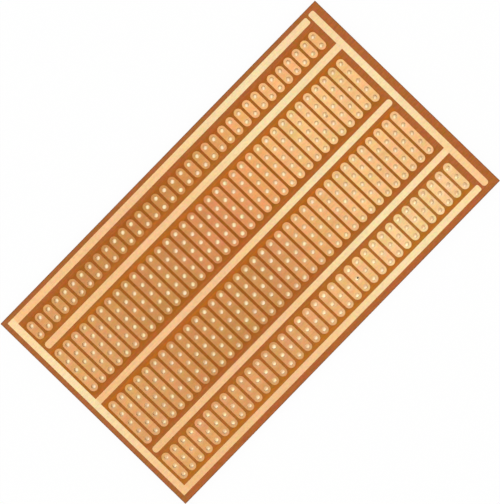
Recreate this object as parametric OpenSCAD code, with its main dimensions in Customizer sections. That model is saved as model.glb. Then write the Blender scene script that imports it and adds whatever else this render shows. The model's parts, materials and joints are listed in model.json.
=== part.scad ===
// Prototype board. A phenolic-paper sheet is punched with rows of lead holes, and its top face
// carries etched copper: short strips that join two, three or five holes, and two comb-shaped
// supply rails whose teeth run between the groups of strips.
// Frame: X along the long side, +Y towards the two-hole group, +Z out of the copper side.
// The origin is the middle of the bare underside.

/* [Sheet and foil] */
// Thickness of the phenolic-paper sheet
sheet_thickness = 1.2; // [0.8:0.1:2.4]
// Thickness of the copper foil
foil_thickness = 0.035; // [0.018:0.001:0.21]

/* [Lead holes] */
// Distance between neighbouring holes, along the board and along a strip
hole_pitch = 2.54; // [2:0.01:5.08]
// Number of hole columns, which is the number of strips in each group
column_count = 35; // [2:1:40]
// Diameter of a lead hole, through the sheet and the foil
hole_diameter = 1.0; // [0.6:0.05:1.25]

/* [Strips] */
// Holes joined by a strip of the group at the +Y side
two_group_holes = 2; // [1:1:6]
// Holes joined by a strip of the upper middle group
upper_five_group_holes = 5; // [1:1:8]
// Holes joined by a strip of the lower middle group
lower_five_group_holes = 5; // [1:1:8]
// Holes joined by a strip of the group at the -Y side
three_group_holes = 3; // [1:1:6]
// Bare gap between neighbouring strips, and between a strip or a rail's free end and an end rail
etch_gap = 0.60; // [0.3:0.01:0.9]
// How much further a strip reaches at each end than a round end about its last hole would
strip_end_run = 0.08; // [0:0.01:0.25]

/* [Supply rails] */
// Width of the two rails on either side of the two-hole group
upper_rail_width = 1.68; // [1:0.01:3]
// Width of the centre rail and the two rails on either side of the three-hole group
lower_rail_width = 1.56; // [1:0.01:3]
// Width of the rail along the -X end
left_rail_width = 1.60; // [1:0.01:3]
// Width of the rail along the +X end
right_rail_width = 1.59; // [1:0.01:3]
// Corner radius at the free ends of the centre, second and fourth rails and the +X rail's -Y end
rail_end_radius = 0.7; // [0.1:0.05:0.75]
// Corner radius at the free ends of the first and last rails and the +X rail's +Y end
outer_end_radius = 0.45; // [0.1:0.05:0.75]

/* [Margins round the copper] */
// Bare margin along the +Y edge
top_margin = 1.06; // [0.5:0.01:5]
// Bare margin along the -Y edge
bottom_margin = 1.45; // [0.5:0.01:5]
// Bare margin along the -X edge
left_margin = 1.12; // [0.5:0.01:5]
// Bare margin along the +X edge
right_margin = 1.80; // [0.5:0.01:5]

/* [Gaps between strips and rails] */
// From the first rail to the two-hole strips
top_rail_to_two_gap = 1.32; // [0.3:0.01:3]
// From the two-hole strips to the second rail
two_to_second_rail_gap = 0.98; // [0.3:0.01:3]
// From the second rail to the upper five-hole strips
second_rail_to_upper_five_gap = 1.02; // [0.3:0.01:3]
// From the upper five-hole strips to the centre rail
upper_five_to_centre_rail_gap = 1.18; // [0.3:0.01:3]
// From the centre rail to the lower five-hole strips
centre_rail_to_lower_five_gap = 1.06; // [0.3:0.01:3]
// From the lower five-hole strips to the fourth rail
lower_five_to_fourth_rail_gap = 1.04; // [0.3:0.01:3]
// From the fourth rail to the three-hole strips
fourth_rail_to_three_gap = 0.98; // [0.3:0.01:3]
// From the three-hole strips to the last rail
three_to_bottom_rail_gap = 0.79; // [0.3:0.01:3]
// From the last column of strips to the rail along the +X end
last_column_to_right_rail_gap = 1.52; // [0.3:0.01:3]

/* [Hidden] */
$fn = 48;
strip_width = hole_pitch - etch_gap;
function strip_length(holes) = (holes - 1) * hole_pitch + strip_width + 2 * strip_end_run;

// Across the board: how far each rail and each group starts from the +Y edge.
top_rail_from_edge = top_margin;
two_group_from_edge = top_rail_from_edge + upper_rail_width + top_rail_to_two_gap;
second_rail_from_edge = two_group_from_edge + strip_length(two_group_holes) + two_to_second_rail_gap;
upper_five_from_edge = second_rail_from_edge + upper_rail_width + second_rail_to_upper_five_gap;
centre_rail_from_edge = upper_five_from_edge + strip_length(upper_five_group_holes)
    + upper_five_to_centre_rail_gap;
lower_five_from_edge = centre_rail_from_edge + lower_rail_width + centre_rail_to_lower_five_gap;
fourth_rail_from_edge = lower_five_from_edge + strip_length(lower_five_group_holes)
    + lower_five_to_fourth_rail_gap;
three_group_from_edge = fourth_rail_from_edge + lower_rail_width + fourth_rail_to_three_gap;
bottom_rail_from_edge = three_group_from_edge + strip_length(three_group_holes)
    + three_to_bottom_rail_gap;
board_width = bottom_rail_from_edge + lower_rail_width + bottom_margin;
top_edge = board_width / 2;

// Along the board: where the end rails and the columns of holes lie from the -X edge.
field_length = (column_count - 1) * hole_pitch + strip_width;
field_from_edge = left_margin + left_rail_width + etch_gap;
right_rail_from_edge = field_from_edge + field_length + last_column_to_right_rail_gap;
board_length = right_rail_from_edge + right_rail_width + right_margin;
left_edge = -board_length / 2;
first_column_x = left_edge + field_from_edge + strip_width / 2;
left_rail_inner_x = left_edge + left_margin + left_rail_width;
right_rail_inner_x = left_edge + right_rail_from_edge;

// One entry per group of strips: where it starts from the +Y edge, and its holes per strip.
two_group = [two_group_from_edge, two_group_holes];
upper_five_group = [upper_five_from_edge, upper_five_group_holes];
lower_five_group = [lower_five_from_edge, lower_five_group_holes];
three_group = [three_group_from_edge, three_group_holes];

function column_x(column) = first_column_x + column * hole_pitch;
function first_hole_y(group) = top_edge - group[0] - strip_end_run - strip_width / 2;

// The hole circles of one column of a group, from its first hole down.
module column_holes(holes) {
    for (i = [0 : holes - 1]) translate([0, -i * hole_pitch]) circle(d = hole_diameter);
}

// One strip with its first hole at the origin and round ends just past its end holes.
module strip_outline(holes) {
    straight = (holes - 1) * hole_pitch + 2 * strip_end_run;
    difference() {
        translate([0, strip_end_run]) {
            circle(d = strip_width);
            if (straight > 0) translate([0, -straight]) {
                circle(d = strip_width);
                translate([-strip_width / 2, 0]) square([strip_width, straight]);
            }
        }
        column_holes(holes);
    }
}

// A group's strips: separate pieces of foil, one for each column.
module strip_group(group) {
    for (column = [0 : column_count - 1])
        translate([column_x(column), first_hole_y(group), sheet_thickness])
            linear_extrude(foil_thickness) strip_outline(group[1]);
}

// A bar that runs to a free end at the origin from the +X side, with rounded end corners.
module free_ended_bar(length, width, end_radius) {
    corner = min(end_radius, width / 2 - 0.01);
    translate([corner, -width]) square([length - corner, width]);
    translate([0, -width + corner]) square([length, width - 2 * corner]);
    for (y = [-corner, -width + corner]) translate([corner, y]) circle(r = corner);
}

// A tooth of the left comb: joined to the rail along the -X end, free at its +X end.
module left_comb_tooth(from_edge, width, end_radius) {
    root_x = left_edge + left_margin;
    tip_x = right_rail_inner_x - etch_gap;
    translate([tip_x, top_edge - from_edge])
        mirror([1, 0]) free_ended_bar(tip_x - root_x, width, end_radius);
}

// A tooth of the right comb: joined to the rail along the +X end, free at its -X end.
module right_comb_tooth(from_edge, width) {
    tip_x = left_rail_inner_x + etch_gap;
    translate([tip_x, top_edge - from_edge])
        free_ended_bar(right_rail_inner_x + right_rail_width / 2 - tip_x, width, rail_end_radius);
}

module left_rail_comb() {
    color("#f7c48b")
        translate([0, 0, sheet_thickness]) linear_extrude(foil_thickness) {
            spine_length = board_width - top_margin - bottom_margin;
            translate([left_edge + left_margin, -top_edge + bottom_margin])
                square([left_rail_width, spine_length]);
            left_comb_tooth(top_rail_from_edge, upper_rail_width, outer_end_radius);
            left_comb_tooth(centre_rail_from_edge, lower_rail_width, rail_end_radius);
            left_comb_tooth(bottom_rail_from_edge, lower_rail_width, outer_end_radius);
        }
}

module right_rail_comb() {
    color("#fbd596")
        translate([0, 0, sheet_thickness]) linear_extrude(foil_thickness) {
            low = min(rail_end_radius, right_rail_width / 2 - 0.01);
            high = min(outer_end_radius, right_rail_width / 2 - 0.01);
            spine_length = board_width - top_margin - bottom_margin;
            translate([right_rail_inner_x, -top_edge + bottom_margin]) {
                translate([0, low]) square([right_rail_width, spine_length - low - high]);
                translate([low, 0]) square([right_rail_width - 2 * low, spine_length - high]);
                translate([high, low]) square([right_rail_width - 2 * high, spine_length - low]);
                for (x = [low, right_rail_width - low]) translate([x, low]) circle(r = low);
                for (x = [high, right_rail_width - high])
                    translate([x, spine_length - high]) circle(r = high);
            }
            right_comb_tooth(second_rail_from_edge, upper_rail_width);
            right_comb_tooth(fourth_rail_from_edge, lower_rail_width);
        }
}

module laminate_board() {
    color("#b2622c")
        linear_extrude(sheet_thickness) difference() {
            translate([left_edge, -top_edge]) square([board_length, board_width]);
            for (column = [0 : column_count - 1])
                for (group = [two_group, upper_five_group, lower_five_group, three_group])
                    translate([column_x(column), first_hole_y(group)]) column_holes(group[1]);
        }
}

module two_hole_strips() { color("#f5b878") strip_group(two_group); }
module upper_five_hole_strips() { color("#efa971") strip_group(upper_five_group); }
module lower_five_hole_strips() { color("#e8a668") strip_group(lower_five_group); }
module three_hole_strips() { color("#f3b271") strip_group(three_group); }

laminate_board();
left_rail_comb();
right_rail_comb();
two_hole_strips();
upper_five_hole_strips();
lower_five_hole_strips();
three_hole_strips();
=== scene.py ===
import json
import math

import bmesh
import bpy
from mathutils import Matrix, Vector, noise


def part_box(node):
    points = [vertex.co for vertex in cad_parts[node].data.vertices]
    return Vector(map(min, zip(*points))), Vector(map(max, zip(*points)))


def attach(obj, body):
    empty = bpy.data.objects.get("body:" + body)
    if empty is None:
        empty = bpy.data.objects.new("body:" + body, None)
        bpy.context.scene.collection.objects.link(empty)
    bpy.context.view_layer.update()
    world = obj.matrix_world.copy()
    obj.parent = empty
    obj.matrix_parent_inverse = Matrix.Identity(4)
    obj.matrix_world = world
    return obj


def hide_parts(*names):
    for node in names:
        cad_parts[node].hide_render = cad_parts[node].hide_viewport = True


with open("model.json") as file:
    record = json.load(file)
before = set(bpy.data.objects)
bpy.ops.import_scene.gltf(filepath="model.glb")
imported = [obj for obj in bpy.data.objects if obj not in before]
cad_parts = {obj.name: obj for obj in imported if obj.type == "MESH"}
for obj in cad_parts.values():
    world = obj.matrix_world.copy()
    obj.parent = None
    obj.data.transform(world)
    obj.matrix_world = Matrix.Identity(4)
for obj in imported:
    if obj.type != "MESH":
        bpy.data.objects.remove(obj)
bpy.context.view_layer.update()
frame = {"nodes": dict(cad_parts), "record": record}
scene = bpy.context.scene
mm = 0.001
touch = 0.001 * mm    # points closer than this are one
print("frame loaded")

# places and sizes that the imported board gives
mounts = {mount["name"]: mount for mount in frame["record"]["mounts"]}
firstHole = Vector(mounts["first_lead_hole"]["pos_m"])
lastHole = Vector(mounts["last_lead_hole"]["pos_m"])
boardLow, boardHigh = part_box("laminate_board")
halfX, halfY = boardHigh.x / mm, boardHigh.y / mm
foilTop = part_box("two_hole_strips")[1].z
stripHalf = firstHole.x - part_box("two_hole_strips")[0].x
columns = 35
pitch = (lastHole.x - firstHole.x) / (columns - 1)


def rowsOf(node):
    # hole rows of one group of strips, from the +Y end down
    low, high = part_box(node)
    middle = (low.y + high.y) / 2
    count = int((high.y - low.y) / pitch) + 1
    return [middle + pitch * ((count - 1) / 2 - n) for n in range(count)]


groupNames = ["two_hole_strips", "upper_five_hole_strips", "lower_five_hole_strips", "three_hole_strips"]
groupRows = {name: rowsOf(name) for name in groupNames}
# how far a strip runs past the round about its last hole
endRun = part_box("two_hole_strips")[1].y - groupRows["two_hole_strips"][0] - stripHalf
# y in mm halfway between neighbouring groups, from the -Y end up
upward = groupNames[::-1]
groupBorders = [(groupRows[lower][0] + groupRows[upper][-1]) / 2 / mm
                for lower, upper in zip(upward, upward[1:])]


# helpers for nodes
white = (1, 1, 1)
noiseMiddle = (0.5, 0.5, 0.5)
noiseReach = (0.3, 0.7)    # nearly all of a noise lies between these
# settings for a Mix node of colours, which go in at 6 and 7 and come out at 2
mixColours = {"data_type": "RGBA", "give": 2}
multiplyColours = {"data_type": "RGBA", "blend_type": "MULTIPLY", "give": 2}


def linear(hexColour):
    # sRGB hex to the linear values that the shaders want
    parts = [int(hexColour[n:n + 2], 16) / 255 for n in (1, 3, 5)]
    return [p / 12.92 if p <= 0.04045 else ((p + 0.055) / 1.055) ** 2.4 for p in parts] + [1.0]


def addNode(tree, kind, inputs=(), stops=None, give=0, **settings):
    # a node with its settings, its ramp stops, and its inputs in order or by name, as values or links;
    # it gives back one of its outputs, or all of them when give is None
    made = tree.nodes.new("ShaderNode" + kind)
    for name, value in settings.items():
        setattr(made, name, value)
    if stops:
        ramp = made.color_ramp
        while len(ramp.elements) > 1:
            ramp.elements.remove(ramp.elements[-1])
        ramp.elements[0].position = stops[0][0]
        ramp.elements[0].color = stops[0][1]
        for place, colour in stops[1:]:
            ramp.elements.new(place).color = colour
    for socket, value in inputs.items() if isinstance(inputs, dict) else enumerate(inputs):
        if isinstance(value, bpy.types.NodeSocket):
            tree.links.new(value, made.inputs[socket])
        else:
            made.inputs[socket].default_value = value
    return made.outputs if give is None else made.outputs[give]


def newMaterial(name):
    material = bpy.data.materials.new(name)
    material.use_nodes = True
    material.node_tree.nodes.clear()
    return material, material.node_tree


def millimetres(tree):
    # the board's own coordinates in millimetres: all three together, then one by one
    spot = addNode(tree, "TexCoord", give="Object")
    scaled = addNode(tree, "Mapping", {"Vector": spot, "Scale": [1 / mm] * 3})
    split = addNode(tree, "SeparateXYZ", (scaled,), give=None)
    return scaled, split["X"], split["Y"], split["Z"]


def shareOf(place, half):
    # a place in mm as a share of a side that reaches from -half to half
    return (place + half) / (2 * half)


def alongBoard(tree, value, half):
    # the same for a coordinate in a material: 0 at one end of the board and 1 at the other
    return addNode(tree, "MapRange", (value, -half, half))


def evenStops(colours, half, low, high):
    # evenly spaced ramp stops between two places in mm on such a side
    step = (high - low) / (len(colours) - 1)
    return [(shareOf(low + n * step, half), colour) for n, colour in enumerate(colours)]


def fromNearestHole(tree, x, y):
    # the vector in mm from the middle of the nearest hole; each group's rows start at their own place
    step = pitch / mm
    places = [0.0] + [shareOf(border, halfY) for border in groupBorders]
    starts = [groupRows[name][0] / pitch % 1 for name in upward]
    stops = [(place, (start, start, start, 1)) for place, start in zip(places, starts)]
    phase = addNode(tree, "ValToRGB", (alongBoard(tree, y, halfY),), stops=stops)
    phase.node.color_ramp.interpolation = "CONSTANT"
    firstRow = addNode(tree, "Math", (phase, step), operation="MULTIPLY")
    pair = []
    for value, first in ((x, firstHole.x / mm), (y, firstRow)):
        shifted = addNode(tree, "Math", (value, first), operation="SUBTRACT")
        pair.append(addNode(tree, "Math", (shifted, step / 2, -step / 2), operation="WRAP"))
    return addNode(tree, "CombineXYZ", pair)


def swayed(tree, position, size, detail):
    # red, green and blue that wander about zero on their own; size in mm
    wander = addNode(tree, "TexNoise", {
        "Vector": position, "Scale": 1 / size, "Detail": detail}, give="Color")
    return addNode(tree, "VectorMath", (wander, noiseMiddle), operation="SUBTRACT")


def speckled(tree, position, colour, look):
    # specks of other tones
    sway = swayed(tree, position, look["speckSize"], 2.0)
    tint = addNode(tree, "VectorMath", (sway, look["speckTint"], white), operation="MULTIPLY_ADD")
    return addNode(tree, "Mix", {"Factor": 1.0, 6: colour, 7: tint}, **multiplyColours)


# camera
cameraView = {
    "height": 185 * mm,          # above the copper, a close straight view from the top
    "turn": -45.79,              # degrees, the long side climbs to the right
    "frameHeight": 107.76 * mm,  # how much of the bench the view takes in from top to bottom
    "aimX": 0.005 * mm,
    "aimY": 0.073 * mm,
    "clipStart": 5 * mm,
}

cameraData = bpy.data.cameras.new("topCamera")
cameraData.lens = cameraData.sensor_width * cameraView["height"] / cameraView["frameHeight"]
cameraData.clip_start = cameraView["clipStart"]
camera = bpy.data.objects.new("topCamera", cameraData)
camera.location = (cameraView["aimX"], cameraView["aimY"], foilTop + cameraView["height"])
camera.rotation_euler = (0, 0, math.radians(cameraView["turn"]))
scene.collection.objects.link(camera)
scene.camera = camera
scene.view_settings.view_transform = "Standard"
print("camera ready")


# light
studio = {
    "worldForShade": 0.888,    # what matt faces get from all round
    "worldForGloss": 0.985,    # overhead, in the copper
    "horizonForGloss": 0.72,   # low down, so that the foil darkens a little at a slant
    "glossRise": 0.8,          # how high up, from 0 to 1, the level of overhead is reached
    # places and sizes in metres
    "lamps": {
        "windowSide": {"place": (-0.55, 0.45, 0.50), "size": 1.10, "watts": 1.15},
        "farSide": {"place": (0.60, -0.30, 0.55), "size": 1.10, "watts": 0.7},
    },
}

world = bpy.data.worlds.new("softRoom")
scene.world = world
world.use_nodes = True
tree = world.node_tree
tree.nodes.clear()
path = addNode(tree, "LightPath", give=None)
facing = addNode(tree, "TexCoord", give="Generated")
height = addNode(tree, "SeparateXYZ", (facing,), give="Z")
glossLevel = addNode(tree, "MapRange", (
    height, 0.0, studio["glossRise"], studio["horizonForGloss"], studio["worldForGloss"]),
    interpolation_type="SMOOTHSTEP")
seen = addNode(tree, "Math", (path["Is Camera Ray"], path["Is Transmission Ray"]), operation="MAXIMUM")
shadeOrGloss = addNode(tree, "Mix", {
    "Factor": path["Is Glossy Ray"], 2: studio["worldForShade"], 3: glossLevel})
level = addNode(tree, "Mix", {"Factor": seen, 2: shadeOrGloss, 3: 1.0})
sky = addNode(tree, "Background", {"Color": (1, 1, 1, 1), "Strength": level})
addNode(tree, "OutputWorld", {"Surface": sky}, give=None)

for name, lamp in studio["lamps"].items():
    light = bpy.data.lights.new(name, "AREA")
    light.shape = "SQUARE"
    light.size = lamp["size"]
    light.energy = lamp["watts"]
    holder = bpy.data.objects.new(name, light)
    holder.location = lamp["place"]
    holder.rotation_euler = (-Vector(lamp["place"])).to_track_quat("-Z", "Y").to_euler()
    scene.collection.objects.link(holder)
print("light ready")


# bench
bench = {
    "size": 3.0,        # metres
    "gap": 0.01 * mm,   # below the board
    "white": "#fafaf8",
    "glow": 0.93,       # share of plain white seen straight; the rest takes the shadow
    "underInset": 2,    # mm in from the sides of the board, where the bench counts as under it
}

# painted light: a spot of lamp light painted on the bench under each hole, warmed by the sheet
paintedHoleSpot = {
    # mm from the middle of the spot, and the tone that is seen
    "tones": [(0.0, "#fff3cf"), (0.16, "#ffeabf"), (0.34, "#f8d6a3"), (0.57, "#d8b181")],
    "middle": (-0.03, -0.19),      # mm from the middle of the hole
    "drift": (0.0022, 0.0113),     # mm further for each mm away from the middle of the board
    "slant": 45,                   # degrees
    "stretch": (1.25, 0.80),       # along the slant and across it
    "spread": (0.93, 0.0105),      # it is smaller towards the ends: at the middle, and more for each mm
    "wander": 0.22,                # mm, no two holes look quite alike
    "uneven": (0.10, 0.22, 0.32),  # red, green and blue
    "changeSize": 1.7,             # mm
    # under the last rows at -Y it is brighter and wider, and lies further from the middle of the hole
    "lastBright": 1.15,
    "lastWider": 0.10,
    "lastShift": (-0.13, -0.06),   # mm
    "lastFade": 0.5,               # mm
}


def paintedSpotLight(tree, position, x, y, farX):
    # the painted light on the bench under a hole
    inLastRows = addNode(tree, "MapRange", (y, groupBorders[0], groupBorders[0] - paintedHoleSpot["lastFade"]))
    sway = swayed(tree, position, paintedHoleSpot["changeSize"], 0.0)
    middle = [addNode(tree, "Math", (value, drift, start), operation="MULTIPLY_ADD")
              for value, drift, start in zip((x, y), paintedHoleSpot["drift"], paintedHoleSpot["middle"])]
    middle = [addNode(tree, "Math", (inLastRows, shift, start), operation="MULTIPLY_ADD")
              for shift, start in zip(paintedHoleSpot["lastShift"], middle)]
    steady = addNode(tree, "CombineXYZ", middle)
    wander = [2 * paintedHoleSpot["wander"]] * 3
    spotMiddle = addNode(tree, "VectorMath", (sway, wander, steady), operation="MULTIPLY_ADD")
    away = addNode(tree, "VectorMath", (fromNearestHole(tree, x, y), spotMiddle), operation="SUBTRACT")
    flatAway = addNode(tree, "VectorMath", (away, (1, 1, 0)), operation="MULTIPLY")
    oval = addNode(tree, "Mapping", {
        "Vector": flatAway, "Rotation": (0, 0, math.radians(paintedHoleSpot["slant"])),
        "Scale": paintedHoleSpot["stretch"] + (1,)}, vector_type="TEXTURE")
    ovalReach = addNode(tree, "VectorMath", (oval,), give="Value", operation="LENGTH")
    start, growth = paintedHoleSpot["spread"]
    tighter = addNode(tree, "Math", (farX, growth, start), operation="MULTIPLY_ADD")
    tighter = addNode(tree, "Math", (inLastRows, -paintedHoleSpot["lastWider"], tighter), operation="MULTIPLY_ADD")
    reach = addNode(tree, "Math", (ovalReach, tighter), operation="MULTIPLY")
    stops = [(place, linear(tone)) for place, tone in paintedHoleSpot["tones"]]
    tone = addNode(tree, "ValToRGB", (reach,), stops=stops)
    change = addNode(tree, "VectorMath", (sway, paintedHoleSpot["uneven"], white), operation="MULTIPLY_ADD")
    warmed = addNode(tree, "Mix", {"Factor": 1.0, 6: tone, 7: change}, clamp_result=True, **multiplyColours)
    bright = addNode(tree, "Math", (inLastRows, paintedHoleSpot["lastBright"] - 1, 1.0), operation="MULTIPLY_ADD")
    return addNode(tree, "VectorMath", {0: warmed, "Scale": bright}, operation="SCALE")


def benchPaper():
    # plain pale paper; it can be looked through from below, and lets the room's light reach the underside
    material, tree = newMaterial("paleBenchPaper")
    path = addNode(tree, "LightPath", give=None)
    position, x, y = millimetres(tree)[:3]
    far = [addNode(tree, "Math", (value,), operation="ABSOLUTE") for value in (x, y)]
    within = [addNode(tree, "Math", (value, half - bench["underInset"]), operation="LESS_THAN")
              for value, half in zip(far, (halfX, halfY))]
    under = addNode(tree, "Math", within, operation="MULTIPLY")
    # painted light: under the board the bench glows with a painted spot beneath each hole
    lit = paintedSpotLight(tree, position, x, y, far[0])
    glowTint = addNode(tree, "Mix", {"Factor": under, 6: (1, 1, 1, 1), 7: lit}, **mixColours)
    seen = addNode(tree, "Math", (path["Is Camera Ray"], path["Is Transmission Ray"]), operation="MAXIMUM")
    seenOrGloss = addNode(tree, "Math", (seen, path["Is Glossy Ray"]), operation="MAXIMUM")
    fullShare = addNode(tree, "Mix", {"Factor": under, 2: bench["glow"], 3: 1.0})
    share = addNode(tree, "Math", (seenOrGloss, fullShare), operation="MULTIPLY")
    paper = addNode(tree, "BsdfDiffuse", {"Color": linear(bench["white"])})
    glow = addNode(tree, "Emission", {"Color": glowTint, "Strength": 1.0})
    top = addNode(tree, "MixShader", (share, paper, glow))
    back = addNode(tree, "NewGeometry", give="Backfacing")
    through = addNode(tree, "Math", (back, path["Is Diffuse Ray"]), operation="MAXIMUM")
    clear = addNode(tree, "BsdfTransparent")
    both = addNode(tree, "MixShader", (through, top, clear))
    addNode(tree, "OutputMaterial", {"Surface": both}, give=None)
    return material


bm = bmesh.new()
bmesh.ops.create_grid(bm, x_segments=1, y_segments=1, size=bench["size"] / 2)
bmesh.ops.translate(bm, verts=bm.verts, vec=(0, 0, -bench["gap"]))
floorMesh = bpy.data.meshes.new("benchTop")
bm.to_mesh(floorMesh)
bm.free()
floorMesh.materials.append(benchPaper())
floor = bpy.data.objects.new("benchTop", floorMesh)
scene.collection.objects.link(floor)
print("bench ready")


# helpers for meshes
ringSegments = 16
levelFacing = 0.9999    # a face that points up or down by this much is level
wallFacing = 0.5        # and one that does so by less than this is a wall


def finishPiece(name, bm, material, node, smoothAngle=35):
    # a finished mesh at the origin, riding on the board; level lands keep crisp rims
    bmesh.ops.recalc_face_normals(bm, faces=bm.faces)
    for face in bm.faces:
        face.smooth = True
    for edge in bm.edges:
        level = sum(abs(face.normal.z) > levelFacing for face in edge.link_faces)
        edge.smooth = level != 1 and edge.calc_face_angle(0) < math.radians(smoothAngle)
    mesh = bpy.data.meshes.new(name)
    bm.to_mesh(mesh)
    bm.free()
    mesh.materials.append(material)
    piece = bpy.data.objects.new(name, mesh)
    scene.collection.objects.link(piece)
    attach(piece, "root")
    if node:
        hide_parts(node)
    print(f"{name}: {len(mesh.polygons)} faces")


def vertsOf(geometry):
    return [g for g in geometry if isinstance(g, bmesh.types.BMVert)]


def allOf(bm):
    return bm.verts[:] + bm.edges[:] + bm.faces[:]


def copyMoved(bm, geometry, offset):
    made = bmesh.ops.duplicate(bm, geom=geometry)["geom"]
    bmesh.ops.translate(bm, verts=vertsOf(made), vec=offset)


def mergeDoubles(bm, distance=touch):
    bmesh.ops.remove_doubles(bm, verts=bm.verts, dist=distance)


def ringEdges(verts):
    inside = set(verts)
    return list({edge for vert in verts for edge in vert.link_edges
                 if all(v in inside for v in edge.verts)})


def openEdges(bm, test):
    # edges with one face, where both ends pass the test
    return [edge for edge in bm.edges if edge.is_boundary and all(test(v) for v in edge.verts)]


def addRing(bm, radius, z):
    made = bmesh.ops.create_circle(bm, segments=ringSegments, radius=radius)["verts"]
    bmesh.ops.translate(bm, verts=made, vec=(0, 0, z))
    return made


def growRing(bm, ring, radius, z):
    # the next ring of a hole, drawn out of the last one
    made = vertsOf(bmesh.ops.extrude_edge_only(bm, edges=ringEdges(ring))["geom"])
    change = radius / made[0].co.xy.length
    bmesh.ops.scale(bm, verts=made, vec=(change, change, 1))
    bmesh.ops.translate(bm, verts=made, vec=(0, 0, z - made[0].co.z))
    return made


def squareOff(verts, reachX, reachY):
    # pushes a circle out to a rectangle
    for vert in verts:
        reach = max(abs(vert.co.x), abs(vert.co.y))
        vert.co.x *= reachX / reach
        vert.co.y *= reachY / reach


def punchedCell(bm, steps, top, bottom, reachX, reachY, roundSide=0):
    # level land round one hole, the hole itself in steps of (radius, z), and the land beneath
    rim = addRing(bm, *steps[0])
    outline = growRing(bm, rim, reachX, top)
    for radius, z in steps[1:]:
        rim = growRing(bm, rim, radius, z)
    outline += growRing(bm, rim, reachX, bottom)
    # a round side keeps its half circle
    squareOff([v for v in outline if v.co.y * roundSide < touch], reachX, reachY)


def extrudeTo(bm, axis, start, end):
    # the open side at start, carried on to end
    side = openEdges(bm, lambda v: abs(v.co[axis] - start) < 2 * touch)
    for vert in vertsOf(bmesh.ops.extrude_edge_only(bm, edges=side)["geom"]):
        vert.co[axis] = end


def markHoles(bm, rows):
    # how far each point is from the middle of its hole, in mm, for the look of walls and haloes
    layer = bm.verts.layers.float.new("fromHole")
    for vert in bm.verts:
        column = min(max(round((vert.co.x - firstHole.x) / pitch), 0), columns - 1)
        row = min(rows, key=lambda y: abs(y - vert.co.y))
        vert[layer] = math.hypot(vert.co.x - firstHole.x - column * pitch, vert.co.y - row) / mm


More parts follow.
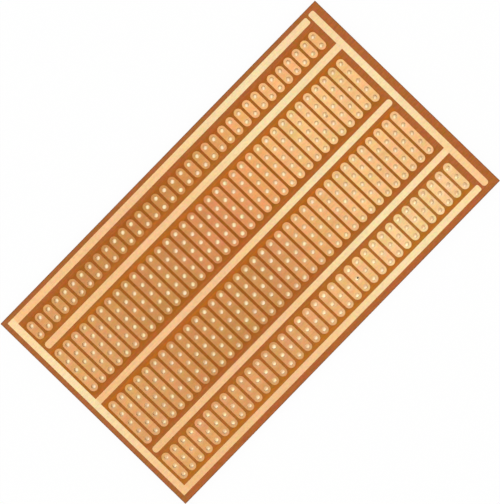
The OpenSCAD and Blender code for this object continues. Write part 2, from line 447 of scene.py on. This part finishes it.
# laminate sheet
sheet = {
    # shape
    "rimRadius": 0.53 * mm,       # the punch draws the surface in a little
    "entryRadius": 0.475 * mm,
    "entryDepth": 0.10 * mm,
    "throatRadius": 0.46 * mm,    # torn paper closes in below
    "throatHeight": 0.40 * mm,
    "breakRadius": 0.52 * mm,     # and breaks out at the underside
    "tearing": 0.018 * mm,        # unevenness of the hole walls
    "tearNoise": 1500,            # noise steps to the metre
    "tearSeed": 1,                # without one the tearing would differ from run to run
    "cleanDepth": 0.2 * mm,       # down to here the punch cuts the paper clean
    "edgeRound": 0.10 * mm,
    # the sheared edge, in mm in from the outline: rounded, at depths below the top,
    # then straight, and torn further down, at heights above the underside
    "edgeDepths": [(0.03, 0.03), (0, 0.10)],
    "edgeHeights": [(0, 0.85), (0, 0.55), (0.02, 0.30), (0.03, 0.08)],
    "edgeWave": 0.035 * mm,       # unevenness of the sheared edge
    "waveNoise": 900,             # noise steps to the metre
    "tornHeight": 0.6 * mm,       # the wave is in full below here
    "cleanShare": 0.4,            # and this much of it above
    "edgeBand": 0.05 * mm,        # points this near to the outline belong to the edge
    "holeInset": 1 * mm,          # and points further in than this to the holes

    # look of the top face: bare sheet from the +Y edge down, the place in mm and the tone that is seen;
    # each gap turns orange in its middle
    "acrossBoard": [
        (27.0, "#ac6634"), (24.55, "#ae6631"), (24.0, "#b3632a"), (23.5, "#aa5f1e"),
        (19.4, "#ae6421"), (18.85, "#b96927"), (18.3, "#b0682a"),
        (15.9, "#b16a2b"), (15.4, "#c0691f"), (14.8, "#b2681f"),
        (3.5, "#a8621d"), (3.0, "#ab6120"), (2.4, "#b4652b"),
        (-0.1, "#b2682c"), (-0.75, "#bf691d"), (-1.35, "#b1661e"),
        (-12.4, "#a86324"), (-12.8, "#a86020"), (-13.4, "#b36429"), (-13.8, "#ad662f"),
        (-16.05, "#b0662d"), (-16.65, "#b76a28"), (-17.1, "#b06b28"),
        (-23.2, "#b06a26"), (-24.0, "#bd6d20"), (-24.5, "#b86f2c"), (-26.5, "#b26533")],
    # narrow gaps between strips, from the -X end to the +X end, and the same in the three-hole group
    "betweenStrips": ["#a96628", "#a66023", "#a55d22", "#a86121", "#a96728"],
    "betweenThree": ["#ae682c", "#af6729", "#b16a2a", "#b17435"],
    "betweenReach": (-42, 40),    # mm, where those tones start and end
    "bandReach": 0.6,             # mm past the outer rows of a group, where its narrow gaps end
    "bandFade": (0.3, 0.2),       # mm outside and inside of there
    "bandEnds": (1.1, 0.95),      # mm past the first and the last column
    # redder ends: the place in mm and the tone
    "redEnds": [(-46.2, "#ac6636"), (43.3, "#b16633")],
    "redFade": 0.4,               # mm

    # look of the walls and the underside
    # the cut paper's darker tone, which also serves as painted shade along the outline
    "cutEdgeAndShade": "#8a5228",
    "cutAndShadeReach": (0.24, 0.08),     # mm in from the outline, where the cut's tone and its painted shade start to show and show in full
    "shadedHoleWall": ("#dfb27e", "#eecb9a"),    # at the -X end and at the +X end; painted shade, darker towards -X
    "wallRadius": 0.515,          # mm
    "paintedLitWall": "#fff3d2",     # painted light: the -Y side of each hole's wall is painted pale, as if lit from +Y
    "paintedLitReach": (0.1, -0.35),    # mm from the middle of the hole
    "underside": "#b5713a",
    "undersideHeight": 0.05,      # mm
    "halo": "#d3a56c",
    "haloReach": (0.95, 0.5),     # mm from the middle of a hole

    # finish
    "roughness": 0.46,
    "roughSpread": 0.06,
    "cutRoughness": 0.85,
    "glossLevel": 0.12,
    "glossLift": 0.009,           # what the satin skin adds to every tone, in linear light
    "cloudSize": 2.2,             # mm, uneven resin in the paper
    "cloudTints": ((0.96, 1.05, 0.80, 1), (1.05, 0.95, 1.25, 1)),    # yellower and redder patches
    "speckSize": 0.55,            # mm, resin-rich and resin-poor specks between the fibres
    "speckTint": (0.50, 0.55, 2.20),    # how much red, green and blue change from speck to speck
    "fibreLength": 2.6,           # mm
    "fibreWidth": 0.16,           # mm; real paper fibres are about 0.03, drawn coarser so that they show
    "fibreTurns": (0.5, -1.1),    # radians, fibres lie at two slants
    "fibreNoise": (0.7, 1.3),     # nearly all of the two slants' noise lies between these
    "fibreShade": (0.88, 1.12),
    "plySpacing": 0.13,           # mm, one sheet of kraft paper in the stack
    "plyLength": 4,               # mm
    "plyNoise": (0.35, 0.65),
    "plyShade": (0.78, 1.12),
    "tornRelief": 3.0,            # how much the plies stand out in the cut faces, beside the fibres
    "bumpStrength": 0.25,
    "bumpHeight": 0.02 * mm,
}


def underGloss(hexColour):
    # the paint under a satin skin, so that the two together give the tone that is seen
    return [max(part - sheet["glossLift"], 0.0) for part in linear(hexColour)[:3]] + [1.0]


def narrowGaps(tree, x, y):
    # where strips stand close together, from 0 to 1
    outside, inside = sheet["bandFade"]
    stops = [(0.0, (0, 0, 0, 1))]
    for rows in reversed(list(groupRows.values())):
        low, high = rows[-1] / mm - sheet["bandReach"], rows[0] / mm + sheet["bandReach"]
        corners = ((low - outside, 0), (low + inside, 1), (high - inside, 1), (high + outside, 0))
        stops += [(shareOf(place, halfY), (value, value, value, 1)) for place, value in corners]
    inBand = addNode(tree, "ValToRGB", (alongBoard(tree, y, halfY),), stops=stops)
    first, last = firstHole.x / mm - sheet["bandEnds"][0], lastHole.x / mm + sheet["bandEnds"][1]
    pastFirst = addNode(tree, "Math", (x, first), operation="GREATER_THAN")
    beforeLast = addNode(tree, "Math", (x, last), operation="LESS_THAN")
    inColumns = addNode(tree, "Math", (pastFirst, beforeLast), operation="MULTIPLY")
    return addNode(tree, "Math", (inBand, inColumns), operation="MULTIPLY")


def bareTone(tree, x, y):
    # the tone of the top face from place to place
    stops = sorted((shareOf(place, halfY), underGloss(tone)) for place, tone in sheet["acrossBoard"])
    plain = addNode(tree, "ValToRGB", (alongBoard(tree, y, halfY),), stops=stops)
    narrows = []
    for name in ("betweenStrips", "betweenThree"):
        stops = evenStops([underGloss(tone) for tone in sheet[name]], halfX, *sheet["betweenReach"])
        narrows.append(addNode(tree, "ValToRGB", (alongBoard(tree, x, halfX),), stops=stops))
    isThree = addNode(tree, "Math", (y, groupBorders[0]), operation="LESS_THAN")
    narrow = addNode(tree, "Mix", {"Factor": isThree, 6: narrows[0], 7: narrows[1]}, **mixColours)
    tone = addNode(tree, "Mix", {"Factor": narrowGaps(tree, x, y), 6: plain, 7: narrow}, **mixColours)
    for place, red in sheet["redEnds"]:
        beyond = addNode(tree, "MapRange", (x, place, place + math.copysign(sheet["redFade"], place)))
        tone = addNode(tree, "Mix", {"Factor": beyond, 6: tone, 7: underGloss(red)}, **mixColours)
    return tone


def paperFibres(tree, position):
    lines = []
    for turn in sheet["fibreTurns"]:
        slant = addNode(tree, "Mapping", {
            "Vector": position, "Rotation": (0, 0, turn),
            "Scale": (1 / sheet["fibreLength"], 1 / sheet["fibreWidth"], 1)})
        lines.append(addNode(tree, "TexNoise", {"Vector": slant, "Scale": 1.0, "Detail": 1.0}))
    return addNode(tree, "Math", lines, operation="ADD")


def undersideTone(tree, fromHole, patch):
    # one even tone, paler round each hole where the punch broke through
    halo = addNode(tree, "MapRange", (fromHole, *sheet["haloReach"]), interpolation_type="SMOOTHSTEP")
    plain = addNode(tree, "Mix", {
        "Factor": 1.0, 6: linear(sheet["underside"]), 7: patch}, **multiplyColours)
    return addNode(tree, "Mix", {"Factor": halo, 6: plain, 7: linear(sheet["halo"])}, **mixColours)


def holeWallLightAndShade(tree, x, y, plyShade):
    # the walls of the holes: painted shade, darker towards -X, and painted light on the -Y side of each
    # hole
    acrossHole = addNode(tree, "SeparateXYZ", (fromNearestHole(tree, x, y),), give="Y")
    paintedLit = addNode(tree, "MapRange", (acrossHole, *sheet["paintedLitReach"]))
    # painted shade: the plain wall is darker towards the -X end
    first, last = [linear(tone) for tone in sheet["shadedHoleWall"]]
    plain = addNode(tree, "Mix", {"Factor": alongBoard(tree, x, halfX), 6: first, 7: last}, **mixColours)
    wall = addNode(tree, "Mix", {
        "Factor": paintedLit, 6: plain, 7: linear(sheet["paintedLitWall"])}, **mixColours)
    return addNode(tree, "VectorMath", {0: wall, "Scale": plyShade}, operation="SCALE")


def nearOutline(tree, x, y):
    # 1 on the sheared edge, 0 a little way in
    reaches = []
    for value, half in ((x, halfX), (y, halfY)):
        far = addNode(tree, "Math", (value,), operation="ABSOLUTE")
        reaches.append(addNode(tree, "Math", (half, far), operation="SUBTRACT"))
    inside = addNode(tree, "Math", reaches, operation="MINIMUM")
    return addNode(tree, "MapRange", (inside, *sheet["cutAndShadeReach"]), interpolation_type="SMOOTHSTEP")


def laminateMaterial():
    # kraft paper pressed with phenolic resin: satin amber brown, cloudy, with faint fibres, plies where cut
    material, tree = newMaterial("pressedPhenolicPaper")
    position, x, y, z = millimetres(tree)
    # uneven resin, redder and yellower in patches, and fibres
    clouds = addNode(tree, "TexNoise", {"Vector": position, "Scale": 1 / sheet["cloudSize"], "Detail": 2.0})
    wide = addNode(tree, "MapRange", (clouds, *noiseReach))
    yellower, redder = sheet["cloudTints"]
    patch = addNode(tree, "Mix", {"Factor": wide, 6: yellower, 7: redder}, **mixColours)
    colour = addNode(tree, "Mix", {"Factor": 1.0, 6: bareTone(tree, x, y), 7: patch}, **multiplyColours)
    colour = speckled(tree, position, colour, sheet)
    fibres = paperFibres(tree, position)
    fibreShade = addNode(tree, "MapRange", (fibres, *sheet["fibreNoise"], *sheet["fibreShade"]))
    colour = addNode(tree, "VectorMath", {0: colour, "Scale": fibreShade}, operation="SCALE")
    fromHole = addNode(tree, "Attribute", give="Fac", attribute_name="fromHole")
    below = undersideTone(tree, fromHole, patch)
    isBelow = addNode(tree, "Math", (z, sheet["undersideHeight"]), operation="LESS_THAN")
    colour = addNode(tree, "Mix", {"Factor": isBelow, 6: colour, 7: below}, **mixColours)
    # plies on the sheared edge and in the holes
    flatten = (1 / sheet["plyLength"], 1 / sheet["plyLength"], 1 / sheet["plySpacing"])
    ply = addNode(tree, "Mapping", {"Vector": position, "Scale": flatten})
    plies = addNode(tree, "TexNoise", {"Vector": ply, "Scale": 1.0, "Detail": 2.0})
    plyShade = addNode(tree, "MapRange", (plies, *sheet["plyNoise"], *sheet["plyShade"]))
    wall = holeWallLightAndShade(tree, x, y, plyShade)
    inHole = addNode(tree, "Math", (fromHole, sheet["wallRadius"]), operation="LESS_THAN")
    colour = addNode(tree, "Mix", {"Factor": inHole, 6: colour, 7: wall}, **mixColours)
    # the sheared edge and a narrow band in from the outline: the cut's tone with painted shade
    edge = nearOutline(tree, x, y)
    cut = addNode(tree, "VectorMath", {
        0: linear(sheet["cutEdgeAndShade"])[:3], "Scale": plyShade}, operation="SCALE")
    colour = addNode(tree, "Mix", {"Factor": edge, 6: colour, 7: cut}, **mixColours)
    # satin resin skin, duller and rougher where the paper is cut
    dull = addNode(tree, "Math", (edge, inHole), operation="MAXIMUM")
    skin = addNode(tree, "MapRange", (
        clouds, 0, 1, sheet["roughness"] - sheet["roughSpread"], sheet["roughness"] + sheet["roughSpread"]))
    rough = addNode(tree, "Mix", {"Factor": dull, 2: skin, 3: sheet["cutRoughness"]})
    torn = addNode(tree, "Math", (dull, sheet["tornRelief"]), operation="MULTIPLY")
    tornPlies = addNode(tree, "Math", (plies, torn), operation="MULTIPLY")
    relief = addNode(tree, "Math", (fibres, tornPlies), operation="ADD")
    bump = addNode(tree, "Bump", {
        "Height": relief, "Strength": sheet["bumpStrength"], "Distance": sheet["bumpHeight"]})
    shader = addNode(tree, "BsdfPrincipled", {
        "Base Color": colour, "Roughness": rough, "Normal": bump,
        "IOR": 1.55, "Specular IOR Level": sheet["glossLevel"]})
    addNode(tree, "OutputMaterial", {"Surface": shader}, give=None)
    return material


def shearEdge(bm, top, bottom):
    # the cut side of the sheet, in steps from the top down
    inset = sheet["edgeRound"]
    steps = [(reach * mm, top - depth * mm) for reach, depth in sheet["edgeDepths"]]
    steps += [(reach * mm, z * mm) for reach, z in sheet["edgeHeights"]]
    rim = openEdges(bm, lambda v: v.co.z > top / 2)
    lastReach = inset
    for reach, z in steps + [(inset, bottom)]:
        fresh = vertsOf(bmesh.ops.extrude_edge_only(bm, edges=rim)["geom"])
        growX, growY = [(boardHigh[axis] - reach) / (boardHigh[axis] - lastReach) for axis in (0, 1)]
        bmesh.ops.scale(bm, verts=fresh, vec=(growX, growY, 1))
        for vert in fresh:
            vert.co.z = z
        rim = ringEdges(fresh)
        lastReach = reach


def tearSheet(bm, top):
    # torn paper in the holes and a wavy cut
    near = sheet["edgeBand"]
    noise.seed_set(sheet["tearSeed"])
    for vert in bm.verts:
        outward = max(abs(vert.co.x) - boardHigh.x, abs(vert.co.y) - boardHigh.y)
        if outward > -near and touch < vert.co.z < top - near:
            share = 1 if vert.co.z < sheet["tornHeight"] else sheet["cleanShare"]
            wave = (noise.noise(vert.co * sheet["waveNoise"]) + 1) / 2 * sheet["edgeWave"] * share
            for axis in (0, 1):
                if abs(vert.co[axis]) > boardHigh[axis] - near:
                    vert.co[axis] -= math.copysign(wave, vert.co[axis])
        elif touch < vert.co.z < top - sheet["cleanDepth"] and outward < -sheet["holeInset"]:
            shift = noise.noise_vector(vert.co * sheet["tearNoise"]) * sheet["tearing"]
            vert.co.xy += shift.xy


def makeSheet():
    top, bottom = boardHigh.z, boardLow.z
    bm = bmesh.new()
    punchedCell(bm, [
        (sheet["rimRadius"], top), (sheet["entryRadius"], top - sheet["entryDepth"]),
        (sheet["throatRadius"], sheet["throatHeight"]), (sheet["breakRadius"], bottom)],
        top, bottom, pitch / 2, pitch / 2)
    # one column of holes, with plain sheet between the groups and at its ends
    cell = allOf(bm)
    groups = list(groupRows.values())
    allRows = sum(groups, [])
    for row in allRows:
        copyMoved(bm, cell, (firstHole.x, row, 0))
    bmesh.ops.delete(bm, geom=vertsOf(cell), context="VERTS")
    mergeDoubles(bm)
    inset = sheet["edgeRound"]
    extrudeTo(bm, 1, groups[0][0] + pitch / 2, boardHigh.y - inset)
    for upper, lower in zip(groups, groups[1:]):
        extrudeTo(bm, 1, upper[-1] - pitch / 2, lower[0] + pitch / 2)
    extrudeTo(bm, 1, groups[-1][-1] - pitch / 2, boardLow.y + inset)
    mergeDoubles(bm)
    # the column again for every pitch, then the margins at both ends
    column = allOf(bm)
    for n in range(1, columns):
        copyMoved(bm, column, (n * pitch, 0, 0))
    mergeDoubles(bm)
    extrudeTo(bm, 0, firstHole.x - pitch / 2, boardLow.x + inset)
    extrudeTo(bm, 0, lastHole.x + pitch / 2, boardHigh.x - inset)
    shearEdge(bm, top, bottom)
    mergeDoubles(bm)
    markHoles(bm, allRows)
    tearSheet(bm, top)
    finishPiece("laminateSheet", bm, laminateMaterial(), "laminate_board")


makeSheet()


# copper foil, of the strips and of the rails
foil = {
    # shape
    "landRadius": 0.58 * mm,      # the foil starts to dip towards the hole here
    "rimRadius": 0.515 * mm,
    "rimDrop": 0.012 * mm,
    "tipRadius": 0.492 * mm,      # dragged into the hole by the punch
    "tipDrop": 0.075 * mm,
    "shoulder": 0.014 * mm,       # etched edge
    "railShoulder": 0.026 * mm,

    # look
    "roughness": 0.34,
    "roughSpread": 0.05,
    "patchSize": 2.4,             # mm, lacquer that dried unevenly
    "patchTint": (0.045, -0.03, 0.11),    # added to red, green and blue where pink, taken away where olive
    "patchNoise": (0.32, 0.68),
    "stripStep": 3.7,             # how far the noise moves on from one strip to the next
    "stripScale": 0.7,
    "wideShare": 0.5,             # share of the patches that cross all strips
    "stripShade": (0.94, 1.06),   # some strips took more of the scrub than others
    "scrubWidth": 0.18,           # mm; real scrub lines are about 0.02, drawn coarser so that they show
    "scrubLength": 5.0,           # mm
    "scrubTurn": 0.12,            # radians
    "scrubShade": (0.95, 1.05),
    "speckSize": 0.55,            # mm, small unevenness of the lacquer
    "speckTint": (0.42, 0.40, 0.52),
    "sideShade": 0.62,           # how dark the painted shade on the foil's side faces, such as the etched edge, is
    "sideShadeFacing": (0.75, 0.97),    # how far up a face points, where this is in full and where it ends
    "dipRadius": 0.75,            # mm from the middle of a hole; the foil dips within this
    "ringMiddle": (0.02, -0.12, 0),    # mm from the middle of a hole
    "ringDrift": (0, 0.005, 0),   # mm further for each mm away from the middle of the board
    "ringReach": (0.97, 0.5),     # mm from the middle of the ring, where it starts and where it is in full
    # painted light: the glow round each hole lifts green and blue
    "paintedRingTint": (0.98, 1.12, 1.26, 1),
    "bumpStrength": 0.15,
    "bumpHeight": 0.01 * mm,
}

# each piece's imported node, material, seed of the patches, and tones in seven steps from -X to +X
# the tones are the foil's own, lightened towards +X by a painted reflection
stripGroups = {
    "twoHoleCopper": {
        "node": "two_hole_strips", "material": "scrubbedCopperTwo", "seed": 1.3,
        "tones": ["#dc9c63", "#ca8b52", "#cc8a4f", "#d28e52", "#e9a567", "#f8b779", "#f6b77a"]},
    "upperFiveCopper": {
        "node": "upper_five_hole_strips", "material": "scrubbedCopperUpper", "seed": 5.1,
        "tones": ["#e1a369", "#d09056", "#ce8f55", "#db8f5b", "#efa669", "#f7c181", "#f3bd80"]},
    "lowerFiveCopper": {
        "node": "lower_five_hole_strips", "material": "scrubbedCopperLower", "seed": 9.7,
        "tones": ["#e1a368", "#d19056", "#ce8f53", "#d3925a", "#edab6e", "#f5c081", "#f3bb80"]},
    "threeHoleCopper": {
        "node": "three_hole_strips", "material": "scrubbedCopperThree", "seed": 14.2,
        "tones": ["#e6a86c", "#df9f65", "#db9c63", "#e8a86f", "#f4bd7f", "#f3c98d", "#f3c48a"]},
}

rails = {
    "pieces": {"leftRail": "left_rail_comb", "rightRail": "right_rail_comb"},
    "material": "lacqueredRailCopper",
    "seed": 21.0,
    # along the board, from the -X end to the +X end, lightened towards +X by a painted reflection
    "along": ["#f2bf86", "#f3c28b", "#f4c28a", "#f4c28e", "#f5c38f", "#f5c693", "#f8cb91", "#f7d29a",
              "#f8d9a3", "#f8dda9", "#f7deaa", "#f7dba7", "#f8d5a1"],
    "alongReach": (-41, 40.5),    # mm, where those tones start and end
    # the two end rails, from the -Y end to the +Y end, partly painted reflection
    "ends": ["#f6c68f", "#f6c991", "#f6cf98", "#f6d39e", "#f6d8a3", "#f5daa9", "#f6dca8", "#f7dcaa",
             "#f7dba7", "#f6d6a1", "#f6d49f"],
    "endsReach": (-23, 24),       # mm
    "endStarts": (45.35, 44.55),  # mm from the middle of the board, at the -X and at the +X end
    "endFade": 0.3,               # mm
    "patchStrength": 0.3,         # patches beside those of the strips
}


def stripToneAndSheen(tree, x, tones):
    # the first and last tones stand two columns in from the ends
    inset = (firstHole.x + 2 * pitch) / mm
    stops = evenStops([linear(tone) for tone in tones], halfX, inset, -inset)
    return addNode(tree, "ValToRGB", (alongBoard(tree, x, halfX),), stops=stops)


def railToneAndSheen(tree, x, y):
    # one run of tones along the board, and another up the end rails; both partly painted reflection
    runs = []
    for name, value, half in (("along", x, halfX), ("ends", y, halfY)):
        stops = evenStops([linear(tone) for tone in rails[name]], half, *rails[name + "Reach"])
        runs.append(addNode(tree, "ValToRGB", (alongBoard(tree, value, half),), stops=stops))
    farX = addNode(tree, "Math", (x,), operation="ABSOLUTE")
    isPlusX = addNode(tree, "Math", (x, 0.0), operation="GREATER_THAN")
    start = addNode(tree, "Mix", {"Factor": isPlusX, 2: rails["endStarts"][0], 3: rails["endStarts"][1]})
    past = addNode(tree, "Math", (farX, start), operation="SUBTRACT")
    isEnd = addNode(tree, "MapRange", (past, 0.0, rails["endFade"]))
    return addNode(tree, "Mix", {"Factor": isEnd, 6: runs[0], 7: runs[1]}, **mixColours)


def ownNoise(tree, x, y, seed):
    # a noise that starts afresh on each strip
    fromFirst = addNode(tree, "Math", (x, firstHole.x / mm), operation="SUBTRACT")
    column = addNode(tree, "Math", (fromFirst, pitch / mm), operation="DIVIDE")
    whole = addNode(tree, "Math", (column,), operation="ROUND")
    acrossStrips = addNode(tree, "Math", (whole, foil["stripStep"]), operation="MULTIPLY")
    alongStrip = addNode(tree, "Math", (y, 1 / foil["patchSize"]), operation="MULTIPLY")
    own = addNode(tree, "CombineXYZ", (acrossStrips, alongStrip, seed))
    return addNode(tree, "TexNoise", {"Vector": own, "Scale": foil["stripScale"], "Detail": 1.0}, give=None)


def paintedRingGlow(tree, position, x, y):
    # painted light: paler round each hole, a glow of the bright spot seen through it
    middle = addNode(tree, "VectorMath", (
        position, foil["ringDrift"], foil["ringMiddle"]), operation="MULTIPLY_ADD")
    offset = addNode(tree, "VectorMath", (fromNearestHole(tree, x, y), middle), operation="SUBTRACT")
    away = addNode(tree, "VectorMath", (offset,), give="Value", operation="LENGTH")
    return addNode(tree, "MapRange", (away, *foil["ringReach"]))


def copperMaterial(name, seed, tones=None):
    # etched and scrubbed 35 micron copper foil under thin flux lacquer:
    # soft metal gloss, peach to cream, in uneven patches
    material, tree = newMaterial(name)
    position, x, y = millimetres(tree)[:3]
    # the foil's own tones along the board, lightened towards +X by a painted reflection
    colour = stripToneAndSheen(tree, x, tones) if tones else railToneAndSheen(tree, x, y)
    # each strip has patches of its own, and wider ones cross them all
    own = ownNoise(tree, x, y, seed)
    wide = addNode(tree, "TexNoise", {"Vector": position, "Scale": 1 / foil["patchSize"], "Detail": 2.0})
    blend = addNode(tree, "Mix", {"Factor": foil["wideShare"] if tones else 1.0, 2: own["Fac"], 3: wide})
    spread = addNode(tree, "MapRange", (blend, *foil["patchNoise"]))
    strength = 1.0 if tones else rails["patchStrength"]
    olive, pink = [[1 + sign * strength * part for part in foil["patchTint"]] + [1] for sign in (-1, 1)]
    tint = addNode(tree, "Mix", {"Factor": spread, 6: olive, 7: pink}, **mixColours)
    colour = addNode(tree, "Mix", {"Factor": 1.0, 6: colour, 7: tint}, **multiplyColours)
    colour = speckled(tree, position, colour, foil)
    if tones:
        ownShade = addNode(tree, "SeparateXYZ", (own["Color"],), give="Z")
        brightness = addNode(tree, "MapRange", (ownShade, *noiseReach, *foil["stripShade"]))
        colour = addNode(tree, "VectorMath", {0: colour, "Scale": brightness}, operation="SCALE")
        # painted light: a pale glow round each hole
        ring = paintedRingGlow(tree, position, x, y)
        colour = addNode(tree, "Mix", {"Factor": ring, 6: colour, 7: foil["paintedRingTint"]}, **multiplyColours)
    # scrub lines along the board
    scrub = addNode(tree, "Mapping", {
        "Vector": position, "Rotation": (0, 0, foil["scrubTurn"]),
        "Scale": (1 / foil["scrubLength"], 1 / foil["scrubWidth"], 1)})
    lines = addNode(tree, "TexNoise", {"Vector": scrub, "Scale": 1.0, "Detail": 3.0})
    shade = addNode(tree, "MapRange", (lines, *noiseReach, *foil["scrubShade"]))
    colour = addNode(tree, "VectorMath", {0: colour, "Scale": shade}, operation="SCALE")
    # painted shade: faces that point less far up, such as the etched edge, are darker than the top
    normal = addNode(tree, "NewGeometry", give="True Normal")
    facing = addNode(tree, "SeparateXYZ", (normal,), give="Z")
    face = addNode(tree, "MapRange", (facing, *foil["sideShadeFacing"], foil["sideShade"]))
    if tones:
        fromHole = addNode(tree, "Attribute", give="Fac", attribute_name="fromHole")
        dips = addNode(tree, "Math", (fromHole, foil["dipRadius"]), operation="LESS_THAN")
        face = addNode(tree, "Math", (face, dips), operation="MAXIMUM")
    colour = addNode(tree, "VectorMath", {0: colour, "Scale": face}, operation="SCALE")
    rough = addNode(tree, "MapRange", (
        lines, *noiseReach,
        foil["roughness"] - foil["roughSpread"], foil["roughness"] + foil["roughSpread"]))
    bump = addNode(tree, "Bump", {
        "Height": lines, "Strength": foil["bumpStrength"], "Distance": foil["bumpHeight"]})
    shader = addNode(tree, "BsdfPrincipled", {
        "Base Color": colour, "Metallic": 1.0, "Roughness": rough, "Normal": bump})
    addNode(tree, "OutputMaterial", {"Surface": shader}, give=None)
    return material


def etchShoulder(bm, reach):
    # bevels the edge that runs round the top of the foil, but not the rims of its holes
    found = []
    for edge in bm.edges:
        if len(edge.link_faces) == 2 and all(abs(v.co.z - foilTop) < touch for v in edge.verts):
            if any(abs(face.normal.z) < wallFacing for face in edge.link_faces):
                found.append(edge)
    bmesh.ops.bevel(bm, geom=found, affect="EDGES", offset=reach, segments=1, profile=0.5, material=-1)


def atOrigin(vert):
    # a cell is made at the origin and then moves to its column
    return abs(vert.co.x) < pitch


def roundOff(bm, radius, side, run):
    # a smoother half circle at the end of a strip, a little further out than the land round its hole
    def atEnd(vert):
        return atOrigin(vert) and vert.co.y * side > -touch

    bmesh.ops.subdivide_edges(bm, edges=openEdges(bm, atEnd), cuts=1)
    for vert in bm.verts:
        if vert.is_boundary and atEnd(vert):
            vert.co.xy = vert.co.xy.normalized() * radius
            vert.co.y += run * side


def makeStrips(name, group):
    rows = groupRows[group["node"]]
    material = copperMaterial(group["material"], group["seed"], group["tones"])
    bm = bmesh.new()
    under = boardHigh.z
    for n, row in enumerate(rows):
        roundSide = 1 if n == 0 else -1 if n == len(rows) - 1 else 0
        punchedCell(bm, [
            (foil["landRadius"], foilTop), (foil["rimRadius"], foilTop - foil["rimDrop"]),
            (foil["tipRadius"], foilTop - foil["tipDrop"]), (sheet["rimRadius"], under)],
            foilTop, under, stripHalf, pitch / 2, roundSide)
        if roundSide:
            roundOff(bm, stripHalf, roundSide, endRun)
        bmesh.ops.translate(bm, verts=[v for v in bm.verts if atOrigin(v)], vec=(firstHole.x, row, 0))
    mergeDoubles(bm)
    # wall round the outside
    rim = openEdges(bm, lambda v: v.co.z > under + 10 * touch)
    for vert in vertsOf(bmesh.ops.extrude_edge_only(bm, edges=rim)["geom"]):
        vert.co.z = under
    mergeDoubles(bm)
    bmesh.ops.recalc_face_normals(bm, faces=bm.faces)
    etchShoulder(bm, foil["shoulder"])
    strip = allOf(bm)
    for n in range(1, columns):
        copyMoved(bm, strip, (n * pitch, 0, 0))
    markHoles(bm, rows)
    finishPiece(name, bm, material, group["node"])


for name, group in stripGroups.items():
    makeStrips(name, group)


def makeRail(name, node, material):
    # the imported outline, cleaned, with the etched shoulder that the strips have
    bm = bmesh.new()
    bm.from_mesh(frame["nodes"][node].data)
    mergeDoubles(bm, touch / 10)
    bmesh.ops.dissolve_limit(bm, angle_limit=math.radians(1), verts=bm.verts, edges=bm.edges)
    etchShoulder(bm, foil["railShoulder"])
    finishPiece(name, bm, material, node)


railCopper = copperMaterial(rails["material"], rails["seed"])
for name, node in rails["pieces"].items():
    makeRail(name, node, railCopper)


# a dark lump of dirt in one hole, and a thin brown flake on the foil beside each of two others
crumbs = {
    # the hole, mm from its middle at the top of the sheet, radii in mm, and the darkest and palest tone
    "fluxBead": {
        "column": 22, "group": "three_hole_strips", "row": 1, "shift": (0.18, -0.06, -0.18),
        "radii": (0.21, 0.18, 0.13), "dark": "#1c1a12", "pale": "#4a3a24"},
    "fibreChipA": {
        "column": 30, "group": "upper_five_hole_strips", "row": 2, "shift": (0.01, -0.61, 0.025),
        "radii": (0.36, 0.26, 0.026), "dark": "#ae8358", "pale": "#c99f70"},
    "fibreChipB": {
        "column": 30, "group": "lower_five_hole_strips", "row": 2, "shift": (-0.10, -0.71, 0.025),
        "radii": (0.36, 0.27, 0.026), "dark": "#ae8358", "pale": "#c99f70"},
}
crumbFinish = {
    "lumps": 0.25,             # how far the surface strays, as a share of the radius
    "lumpNoise": 6000,         # noise steps to the metre
    "specks": 9.0,             # to the mm
    "speckNoise": (0.35, 0.65),
    "roughness": (0.55, 0.9),
    "bumpStrength": 0.4,
    "bumpHeight": 0.02 * mm,
    "smoothAngle": 60,         # degrees
}


def crumbMaterial(name, dark, pale):
    # dull and speckled, for the lump of dirt and the flakes
    material, tree = newMaterial(name)
    position = millimetres(tree)[0]
    speckle = addNode(tree, "TexNoise", {"Vector": position, "Scale": crumbFinish["specks"], "Detail": 3.0})
    stops = list(zip(crumbFinish["speckNoise"], (linear(dark), linear(pale))))
    colour = addNode(tree, "ValToRGB", (speckle,), stops=stops)
    rough = addNode(tree, "MapRange", (speckle, 0, 1, *crumbFinish["roughness"]))
    bump = addNode(tree, "Bump", {
        "Height": speckle, "Strength": crumbFinish["bumpStrength"], "Distance": crumbFinish["bumpHeight"]})
    shader = addNode(tree, "BsdfPrincipled", {
        "Base Color": colour, "Roughness": rough, "Normal": bump, "IOR": 1.5})
    addNode(tree, "OutputMaterial", {"Surface": shader}, give=None)
    return material


def makeCrumb(name, crumb):
    bm = bmesh.new()
    bmesh.ops.create_icosphere(bm, subdivisions=2, radius=mm)
    bmesh.ops.scale(bm, verts=bm.verts, vec=crumb["radii"])
    for vert in bm.verts:
        lump = noise.noise(vert.co * crumbFinish["lumpNoise"] + Vector((len(name), 0, 0)))
        vert.co *= 1 + crumbFinish["lumps"] * lump
    row = groupRows[crumb["group"]][crumb["row"]]
    hole = Vector((firstHole.x + crumb["column"] * pitch, row, boardHigh.z))
    bmesh.ops.translate(bm, verts=bm.verts, vec=hole + Vector(crumb["shift"]) * mm)
    material = crumbMaterial(name + "Dull", crumb["dark"], crumb["pale"])
    finishPiece(name, bm, material, None, crumbFinish["smoothAngle"])


for name, crumb in crumbs.items():
    makeCrumb(name, crumb)
